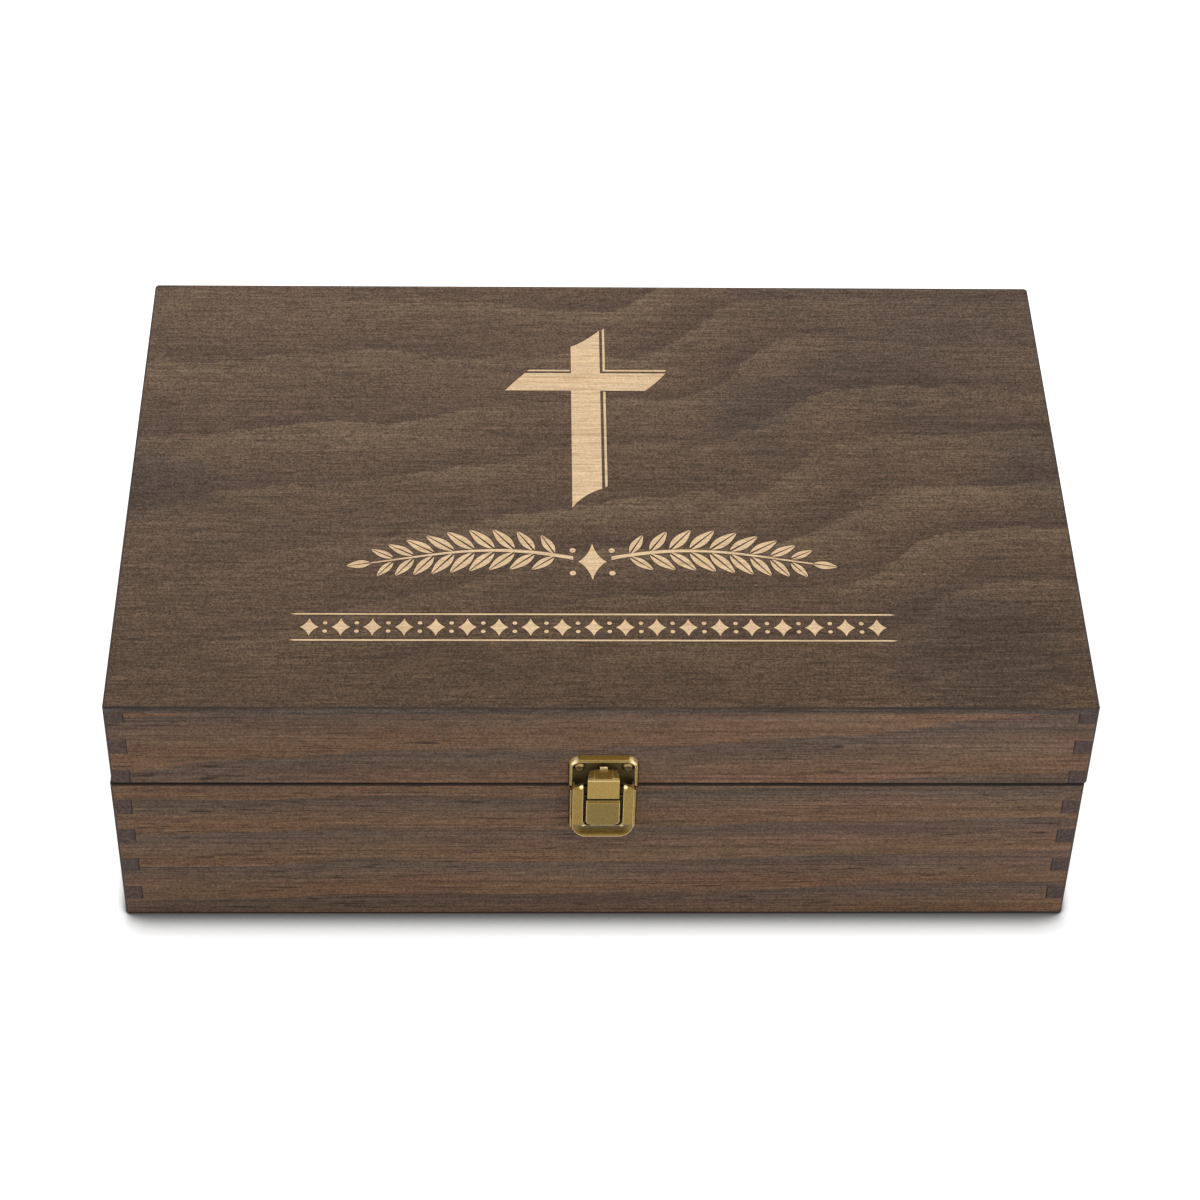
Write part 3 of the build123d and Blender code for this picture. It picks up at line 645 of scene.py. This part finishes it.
def brass(name, face, above, own_tones=None, rubbing_and_highlight=1.0):
    """Antique brass: one tone on its faces and a painted reflection on what faces up, painted shade where it
    faces down, patina and painted shade where it is closed in, and brightened along its edges partly as
    rubbed brass and partly as a painted highlight. A place that is dull is rougher and less metallic."""
    made, tree = shader(name)
    coordinates = put(tree, "TexCoord").outputs
    place = coordinates["Object"]
    sideways, inward, up = split(tree, coordinates["Normal"])
    # A painted reflection on what faces up
    tone = blend(tree, remap(tree, up, 0.2, 0.75, 0.0, 0.9), face, above)
    # Painted shade where it faces down
    tone = blend(tree, remap(tree, up, -0.3, -0.8, 0.0, 0.85), tone, BRASS_PAINTED_SHADE)
    highlight, dull = 0.0, 0.0
    if own_tones:
        tone, highlight, dull = own_tones(tree, place, inward, up, tone)
    spots = remap(tree, noise(tree, place, BRASS_SPOTS, 4.0, 0.6), 0.5, 0.8, 0.0, 0.35)
    tone = blend(tree, spots, tone, BRASS_PATINA_AND_PAINTED_REFLECTION)
    tone = darken(tree, tone, noise(tree, place, BRASS_GRIT, 2.0, 0.6), 0.3, 0.7, 0.84, 1.14)
    shade = put(tree, "AmbientOcclusion", {"Distance": CLOSED_IN}, samples=12).outputs["AO"]
    # Patina and painted shade where other metal is near
    tone = blend(tree, remap(tree, shade, 0.08, 0.36, 0.9, 0.0), tone, BRASS_PAINTED_SHADE)
    brightened = calc(tree, "MAXIMUM", rubbed_and_highlit_edges(tree, sideways, up, shade, rubbing_and_highlight), highlight)
    # Rubbed edges and painted highlights
    tone = blend(tree, brightened, tone, BRASS_RUBBED_AND_PAINTED_HIGHLIGHT)
    brushed = stretched(tree, place, BRASS_BRUSHED, 2.0, 0.6)
    roughness = calc(tree, "MULTIPLY_ADD", dull, 0.25, remap(tree, brushed, 0.3, 0.7, 0.26, 0.40))
    if isinstance(dull, float):
        metallic = 1.0 - 0.3 * dull
    else:
        metallic = calc(tree, "MULTIPLY_ADD", dull, -0.3, 1.0)
    surface(tree, tone, roughness, bumped(tree, brushed, 0.15, BRASS_RELIEF), metallic=metallic)
    return made


# Engraving

ENGRAVING_DEPTH = 0.2 * MM
ENGRAVING_PROUD = 0.03 * MM
BURN_WIDTH = 0.28 * MM
CURVE_STEPS = 8


def flat_piece(name, outlines, low, high, material):
    """Closed outlines, seen from above, as one flat piece between two heights. It rides on the lid."""
    mesh = bpy.data.meshes.new(name)
    shape = bmesh.new()
    for outline in outlines:
        foot = [shape.verts.new((x, y, low)) for x, y in outline]
        head = [shape.verts.new((x, y, high)) for x, y in outline]
        count = len(outline)
        shape.faces.new(foot)
        shape.faces.new(head)
        for i in range(count):
            j = (i + 1) % count
            shape.faces.new((foot[i], foot[j], head[j], head[i]))
    bmesh.ops.recalc_face_normals(shape, faces=shape.faces)
    shape.to_mesh(mesh)
    shape.free()
    piece = bpy.data.objects.new(name, mesh)
    bpy.context.scene.collection.objects.link(piece)
    piece.data.materials.append(material)
    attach(piece, "lid")


def grown(outline, width):
    """The outline moved outwards by a width."""
    count = len(outline)
    area = 0
    for i in range(count):
        here, after = outline[i], outline[(i + 1) % count]
        area += here[0] * after[1] - after[0] * here[1]
    way = 1 if area > 0 else -1
    moved = []
    for i in range(count):
        here = Vector(outline[i])
        before = (here - Vector(outline[i - 1])).normalized()
        after = (Vector(outline[(i + 1) % count]) - here).normalized()
        normal = Vector((before.y + after.y, -before.x - after.x)) * way
        if normal.length < 0.2:
            normal = (before - after) / 2
        normal.normalize()
        moved.append(tuple(here + normal * width))
    return moved


def on_lid(points):
    """Points in millimetres, from the middle of the box and from its front face, in the frame."""
    return [(x * MM, FRONT_FACE + y * MM) for x, y in points]


def bent(start, middle, end, steps=CURVE_STEPS):
    """Points along a curve with one control point."""
    points = []
    for i in range(steps + 1):
        t = i / steps
        a, b, c = (1 - t) ** 2, 2 * t * (1 - t), t * t
        points.append((a * start[0] + b * middle[0] + c * end[0], a * start[1] + b * middle[1] + c * end[1]))
    return points


# Cross, in millimetres
SHAFT_LEFT = -8.8
SHAFT_RIGHT = 2.5
ARM_LOW = 169.8
ARM_HIGH = 180.15
LINE_GAP = 1.1
LINE_WIDTH = 0.95
LINE_SHORT = 0.4           # how far the left line stops before the shaft
FOOT_GAP = 0.6             # and the foot line below the arm
LEAN = 0.003               # how far the cross leans to the right for each millimetre up


def cross_outlines():
    """A cross with slanted, slightly hollow ends and thin accent lines beside it."""
    body = bent((SHAFT_LEFT, 196.1), (-3.8, 198.6), (SHAFT_RIGHT, 206.0))
    body += [(SHAFT_RIGHT, ARM_HIGH)]
    body += bent((28.1, ARM_HIGH), (24.4, 174.4), (19.9, ARM_LOW))
    body += [(SHAFT_RIGHT, ARM_LOW)]
    body += bent((SHAFT_RIGHT, 113.6), (-4.6, 110.6), (SHAFT_LEFT, 103.2))
    body += [(SHAFT_LEFT, ARM_LOW)]
    body += bent((-34.4, ARM_LOW), (-31.2, 174.6), (-26.7, ARM_HIGH))
    body += [(SHAFT_LEFT, ARM_HIGH)]
    near = SHAFT_RIGHT + LINE_GAP
    far = near + LINE_WIDTH
    low = ARM_HIGH + LINE_GAP
    high = low + LINE_WIDTH
    corner = [(near, 206.6), (near, low), (27.9, low), (28.5, high), (far, high), (far, 207.3)]
    line_end = SHAFT_LEFT - LINE_SHORT
    left_line = [(-26.0, low), (line_end, low), (line_end, high), (-25.1, high)]
    foot_head = ARM_LOW - FOOT_GAP
    foot_line = [(near, 114.4), (far, 115.0), (far, foot_head), (near, foot_head)]
    parts = (body, corner, left_line, foot_line)
    return [on_lid([(x + LEAN * (y - ARM_LOW), y) for x, y in part]) for part in parts]


# Ornament below the cross, in millimetres
ORNAMENT_X = -2.0
ROSETTE = (5.2, 9.5)
ROSETTE_DOTS = (7.2, 6.0)
ROSETTE_DOT = 1.2
SPRIG_Y = 74.0
SPRIG_REACH = 86.0
STEM_START = 7.0
STEM_SHORT = 5.0           # how far the stem stops before the sprig's reach
STEM_ARCH = 7.0
STEM_WAVE = 1.12           # how many half waves its height goes through
STEM_SINK = 0.35           # the share of its height that is lost at its reach
STEM_THICK = 0.95
STEM_TAPER = 0.6
STEM_STEPS = 32
LEAF_PAIRS = 9
LEAF_STEPS = 12
FIRST_LEAF = 14.0
LEAF_SPAN = SPRIG_REACH - 27.0
LEAF_SHORT = 7.5           # the leaves' length at least, and what a part of a half wave adds to it
LEAF_GAIN = 6.0
LEAF_WAVE = (0.18, 0.72)   # where that part starts, and how long it is
LEAF_OPEN = 0.90           # their angle to the stem, and how much it closes, in radians
LEAF_CLOSE = 0.18
LEAF_LIFT = 1.0            # how far a stalk starts from the middle of the stem
LEAF_SLIM = 0.30           # a leaf's width as a share of its length
LEAF_SKEW = 0.85           # below 1 it is widest nearer its stalk
LEAF_POINT = 1.1           # above 1 its ends are drawn out
LEAF_CLEFT = 0.035         # shares of its length: how far each half lies from the vein's middle,
LEAF_TIP = 0.01            # that at the tip,
VEIN_STALK = (0.06, 0.03)  # and the place of each end of the vein with half its width there
VEIN_TIP = (0.94, 0.012)
TIP_LEAF = (9.0, 3.4)
BAND_Y = 40.0
BAND_HALF = 109.0
BAND_MOTIFS = 19
BAND_MARGIN = 7.0
RULE_Y = 6.6
RULE_HALF = 0.4
RULE_POINT = 2
LOZENGE = (3.4, 4.4)
BAND_DOT_Y = 2.1
BAND_DOT = 0.85
HOLLOW = 0.3               # how near a lozenge's sides bend to its middle: 0.5 is straight


def leaf(x, y, length, width, angle):
    """A pointed leaf from its stalk at a place, in two halves with a tapered vein between them."""
    stalk_end, stalk_half = VEIN_STALK
    tip_end, tip_half = VEIN_TIP
    halves = []
    for side in (-1, 1):
        edge = []
        for i in range(LEAF_STEPS + 1):
            t = i / LEAF_STEPS
            bulge = width / 2 * sin(pi * t**LEAF_SKEW) ** LEAF_POINT
            edge.append((length * t, side * (LEAF_CLEFT * length + bulge)))
        edge[0] = (0.0, side * stalk_half * length)
        edge[-1] = (length, side * LEAF_TIP * length)
        vein = [(length * tip_end, side * tip_half * length),
                (length * stalk_end, side * stalk_half * length)]
        halves.append([
            (x + cos(angle) * u - sin(angle) * v, y + sin(angle) * u + cos(angle) * v)
            for u, v in edge + vein
        ])
    return halves


def disc(x, y, radius, sides=20):
    """A small round dot."""
    angles = [2 * pi * i / sides for i in range(sides)]
    return [(x + radius * cos(angle), y + radius * sin(angle)) for angle in angles]


def diamond(x, y, half_width, half_height):
    """A lozenge with hollow sides."""
    points = []
    corners = [(half_width, 0), (0, half_height), (-half_width, 0), (0, -half_height)]
    for i in range(4):
        a, b = corners[i], corners[(i + 1) % 4]
        points += bent(a, ((a[0] + b[0]) * HOLLOW, (a[1] + b[1]) * HOLLOW), b, 5)[:-1]
    return [(x + u, y + v) for u, v in points]


def stem_height(reach):
    """How far the sprig's stem lies above its middle line, at a distance from the middle."""
    share = reach / SPRIG_REACH
    return STEM_ARCH * sin(pi * share * STEM_WAVE) * (1 - STEM_SINK * share)


def stem(side):
    """The sprig's tapered stem to one side of the middle."""
    upper, lower = [], []
    for i in range(STEM_STEPS + 1):
        reach = STEM_START + (SPRIG_REACH - STEM_START - STEM_SHORT) * i / STEM_STEPS
        half = STEM_THICK - STEM_TAPER * i / STEM_STEPS
        upper.append((side * reach, stem_height(reach) + half))
        lower.append((side * reach, stem_height(reach) - half))
    return upper + lower[::-1]


def sprig_leaves(side):
    """The leaves along one stem, in pairs that close up towards the tip, and the leaf at its tip."""
    wave_start, wave_length = LEAF_WAVE
    parts = []
    for i in range(LEAF_PAIRS):
        share = i / (LEAF_PAIRS - 1)
        reach = FIRST_LEAF + LEAF_SPAN * share
        length = LEAF_SHORT + LEAF_GAIN * sin(pi * (wave_start + wave_length * share))
        slope = stem_height(reach + 1) - stem_height(reach - 1)
        for lift in (-1, 1):
            outward = slope / 2 + lift * (LEAF_OPEN - LEAF_CLOSE * share)
            angle = outward if side > 0 else pi - outward
            stalk = stem_height(reach) + lift * LEAF_LIFT
            parts += leaf(side * reach, stalk, length, length * LEAF_SLIM, angle)
    tip = SPRIG_REACH - STEM_SHORT
    tip_slope = (stem_height(tip + 1) - stem_height(tip - 1)) / 2
    tip_angle = tip_slope if side > 0 else pi - tip_slope
    return parts + leaf(side * tip, stem_height(tip), *TIP_LEAF, tip_angle)


def sprig_outlines():
    """Two mirrored leafy sprigs that meet at a small rosette."""
    across, up = ROSETTE_DOTS
    parts = [diamond(0, 0, *ROSETTE)]
    parts += [disc(x, y, ROSETTE_DOT) for x in (-across, across) for y in (-up, up)]
    for side in (-1, 1):
        parts.append(stem(side))
        parts += sprig_leaves(side)
    return [on_lid([(ORNAMENT_X + x, SPRIG_Y + y) for x, y in part]) for part in parts]


def band_outlines():
    """A narrow border: two fine rules with lozenges and dots between them."""
    parts = []
    inner = BAND_HALF - RULE_POINT
    for rule in (-RULE_Y, RULE_Y):
        low, high = rule - RULE_HALF, rule + RULE_HALF
        parts.append([(-BAND_HALF, rule), (-inner, low), (inner, low),
                      (BAND_HALF, rule), (inner, high), (-inner, high)])
    step = 2 * (BAND_HALF - BAND_MARGIN) / (BAND_MOTIFS - 1)
    for i in range(BAND_MOTIFS):
        x = -BAND_HALF + BAND_MARGIN + i * step
        parts.append(diamond(x, 0, *LOZENGE))
        if i < BAND_MOTIFS - 1:
            parts.append(disc(x + step / 2, BAND_DOT_Y, BAND_DOT))
            parts.append(disc(x + step / 2, -BAND_DOT_Y, BAND_DOT))
    return [on_lid([(ORNAMENT_X + x, BAND_Y + y) for x, y in part]) for part in parts]


def engrave(name, outlines, pale, scorched):
    """A pale engraved shape with its scorched edge."""
    low = PANEL_HEAD - ENGRAVING_DEPTH
    flat_piece(name, outlines, low, PANEL_HEAD + ENGRAVING_PROUD, pale)
    edges = [grown(outline, BURN_WIDTH) for outline in outlines]
    flat_piece(name + "_edge", edges, low, PANEL_HEAD + ENGRAVING_PROUD / 2, scorched)


def engrave_lid():
    """The cross, the sprig and the border."""
    pale = maple("engraving_maple")
    scorched = burn("engraving_burn")
    engrave("engraved_cross", cross_outlines(), pale, scorched)
    engrave("engraved_sprig", sprig_outlines(), pale, scorched)
    engrave("engraved_band", band_outlines(), pale, scorched)


# Finish of the CAD nodes

WOOD_EDGE = 0.25 * MM
METAL_EDGE = 0.13 * MM
EDGE_STEPS = 2
WELD_GAP = 0.002 * MM
FLAT_ANGLE = radians(0.4)      # faces that meet at less than this become one
SHARP_ANGLE = radians(28)      # edges that turn by more than this are softened


def dress(name, material, edge):
    """Gives a CAD node its material and soft edges."""
    node = NODES[name]
    node.data.materials.clear()
    node.data.materials.append(material)
    weld = node.modifiers.new("weld", "WELD")
    weld.merge_threshold = WELD_GAP
    plain = node.modifiers.new("whole_faces", "DECIMATE")
    plain.decimate_type = "DISSOLVE"
    plain.angle_limit = FLAT_ANGLE
    soft = node.modifiers.new("soft_edges", "BEVEL")
    soft.width = edge
    soft.segments = EDGE_STEPS
    soft.limit_method = "ANGLE"
    soft.angle_limit = SHARP_ANGLE
    soft.harden_normals = False
    even = node.modifiers.new("even_shading", "WEIGHTED_NORMAL")
    even.keep_sharp = False


def inner_faces(body):
    """Where the inner faces of a body's left and right boards lie."""
    return (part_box(body + "_left_board")[1].x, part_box(body + "_right_board")[0].x)


def dress_wood():
    """The boards of the lid and the base, cut from two pieces of pine each, and the two panels."""
    dress("lid_top_panel", veneer("lid_veneer"), WOOD_EDGE)
    lid_long = pine("lid_pine_long", "X", period=26 * MM, slope=0.068, phase=0.146, seed=0.0)
    lid_side = pine("lid_pine_side", "Y", period=24 * MM, slope=0.02, phase=0.60, seed=3.1,
                    finger_ends=inner_faces("lid"))
    base_long = pine("base_pine_long", "X", period=18.5 * MM, slope=0.02, phase=0.162, seed=1.7)
    base_side = pine("base_pine_side", "Y", period=20 * MM, slope=0.01, phase=0.30, seed=4.9,
                     finger_ends=inner_faces("base"))
    bottom = pine("bottom_ply", "X", period=15 * MM, slope=0.0, phase=0.2, seed=7.7)
    dress("base_bottom_panel", bottom, WOOD_EDGE)
    for body, long_wood, side_wood in (("lid", lid_long, lid_side), ("base", base_long, base_side)):
        for side in ("front", "back"):
            dress(body + "_" + side + "_board", long_wood, WOOD_EDGE)
        for side in ("left", "right"):
            dress(body + "_" + side + "_board", side_wood, WOOD_EDGE)


def dress_metal():
    """The latch, the hinges and their screws: every node that isn't a board or a panel."""
    latch = brass("latch_brass", BRASS, BRASS_PATINA_AND_PAINTED_REFLECTION, latch_tones)
    hook = brass("hook_brass", BRASS_PALE_AND_PAINTED_HIGHLIGHT, BRASS_SHADE, hook_tones)
    # The pins are dark with painted shade, as they lie in the lever's slots
    shaded_pin = brass("pin_in_painted_shade", BRASS_PAINTED_SHADE, BRASS_PAINTED_SHADE, rubbing_and_highlight=0.0)
    hinge = brass("hinge_brass", BRASS, BRASS)
    screw = brass("screw_brass", SCREW_BROWN, SCREW_BROWN, screw_tones, rubbing_and_highlight=0.2)
    for name in NODES:
        if name.endswith(("_board", "_panel")):
            continue
        metal = latch
        if "screws" in name:
            metal = screw
        elif "hinge" in name:
            metal = hinge
        elif name == "latch_hook":
            metal = hook
        elif name.endswith("_pin"):
            metal = shaded_pin
        dress(name, metal, METAL_EDGE)


# Studio

# Camera, fitted to the photograph's corners
CAMERA_PLACE = Vector((-0.0300, -0.9007, 0.9339))
CAMERA_TURN = radians(2.081)
CAMERA_DIP = radians(44.445)
CAMERA_ROLL = radians(1.57)
CAMERA_LENS = 97.31        # in millimetres, as is the film
CAMERA_FILM = 36
CAMERA_NEAR = 10 * MM

FLOOR_HALF = 6.0
FLOOR_GREY = (0.78, 0.78, 0.78)
FLOOR_GLOW = 0.70          # what the floor adds to its own colour where it is seen directly
CONTACT_REACH = 15 * MM
CONTACT_ASIDE = 4 * MM
SIDE_LIFT = 0.80           # the share of the contact shadow that is lifted off the floor beside the box
WORLD_LIGHT = 0.55
LAMPS = [                  # name, place, target, size, power
    ("key_lamp", (0.5, -1.1, 1.5), (0, 0, 0.05), 2.2, 14),
    ("back_lamp", (-0.5, 1.1, 1.5), (0, 0, 0.1), 0.9, 7),
]


def add_camera():
    """The camera at the photograph's place and angle."""
    ahead = Vector((sin(CAMERA_TURN) * cos(CAMERA_DIP), cos(CAMERA_TURN) * cos(CAMERA_DIP), -sin(CAMERA_DIP)))
    right = Vector((cos(CAMERA_TURN), -sin(CAMERA_TURN), 0))
    up = right.cross(ahead)
    rolled_right = right * cos(CAMERA_ROLL) + up * sin(CAMERA_ROLL)
    rolled_up = up * cos(CAMERA_ROLL) - right * sin(CAMERA_ROLL)
    axes = Matrix((rolled_right, rolled_up, -ahead)).transposed()
    lens = bpy.data.cameras.new("camera")
    lens.lens = CAMERA_LENS
    lens.sensor_width = CAMERA_FILM
    lens.clip_start = CAMERA_NEAR
    camera = bpy.data.objects.new("camera", lens)
    camera.matrix_world = Matrix.Translation(CAMERA_PLACE) @ axes.to_4x4()
    bpy.context.scene.collection.objects.link(camera)
    bpy.context.scene.camera = camera


def seen_directly(tree):
    """1 for what the camera, a reflection or glass sees, and 0 for what only lights other things."""
    path = put(tree, "LightPath").outputs
    seen = calc(tree, "MAXIMUM", path["Is Camera Ray"], path["Is Glossy Ray"])
    return calc(tree, "MAXIMUM", seen, path["Is Transmission Ray"])


def floor_paint(name):
    """A pale floor that shows as white, with a soft contact shadow that is strongest before the box."""
    made, tree = shader(name)
    near = put(tree, "AmbientOcclusion", {"Distance": CONTACT_REACH}, samples=16).outputs["AO"]
    x, _, _ = split(tree, put(tree, "TexCoord").outputs["Object"])
    aside = calc(tree, "ABSOLUTE", x)
    lift = remap(tree, aside, BOX_HALF, BOX_HALF + CONTACT_ASIDE, 0.0, SIDE_LIFT)
    near = calc(tree, "MULTIPLY_ADD", calc(tree, "SUBTRACT", 1.0, near), lift, near)
    contact = ramp(tree, near, [
        (0.50, 0.08), (0.59, 0.195), (0.69, 0.415), (0.80, 0.68), (0.90, 0.79), (0.97, 1.0),
    ])
    paint = blend(tree, 1.0, FLOOR_GREY, contact, "MULTIPLY")
    plain = put(tree, "BsdfDiffuse", {"Color": paint}).outputs[0]
    strength = times(tree, seen_directly(tree), FLOOR_GLOW)
    glow = put(tree, "Emission", {"Color": contact, "Strength": strength}).outputs[0]
    both = put(tree, "AddShader", {0: plain, 1: glow}).outputs[0]
    put(tree, "OutputMaterial", {"Surface": both})
    return made


def add_floor():
    """A wide floor that the box stands on."""
    mesh = bpy.data.meshes.new("floor")
    half = FLOOR_HALF
    corners = [(-half, -half, 0), (half, -half, 0), (half, half, 0), (-half, half, 0)]
    mesh.from_pydata(corners, [], [(0, 1, 2, 3)])
    floor = bpy.data.objects.new("floor", mesh)
    bpy.context.scene.collection.objects.link(floor)
    floor.data.materials.append(floor_paint("floor"))


def add_world():
    """White all round where it is seen, and softer light from it on the box."""
    world = bpy.data.worlds.new("studio")
    bpy.context.scene.world = world
    world.use_nodes = True
    tree = world.node_tree
    tree.nodes.clear()
    strength = remap(tree, seen_directly(tree), 0.0, 1.0, WORLD_LIGHT, 1.0)
    light = put(tree, "Background", {"Color": (1, 1, 1, 1), "Strength": strength})
    put(tree, "OutputWorld", {"Surface": light.outputs[0]})


def add_lamp(name, place, target, size, power):
    """A round soft lamp that points at a target."""
    lamp = bpy.data.lights.new(name, "AREA")
    lamp.shape = "DISK"
    lamp.size = size
    lamp.energy = power
    lit = bpy.data.objects.new(name, lamp)
    lit.location = place
    lit.rotation_euler = (Vector(target) - Vector(place)).to_track_quat("-Z", "Y").to_euler()
    bpy.context.scene.collection.objects.link(lit)


def studio():
    """Camera, floor, background and lamps."""
    bpy.context.scene.view_settings.view_transform = "Standard"
    add_camera()
    add_floor()
    add_world()
    for lamp in LAMPS:
        add_lamp(*lamp)


studio()
dress_wood()
dress_metal()
engrave_lid()
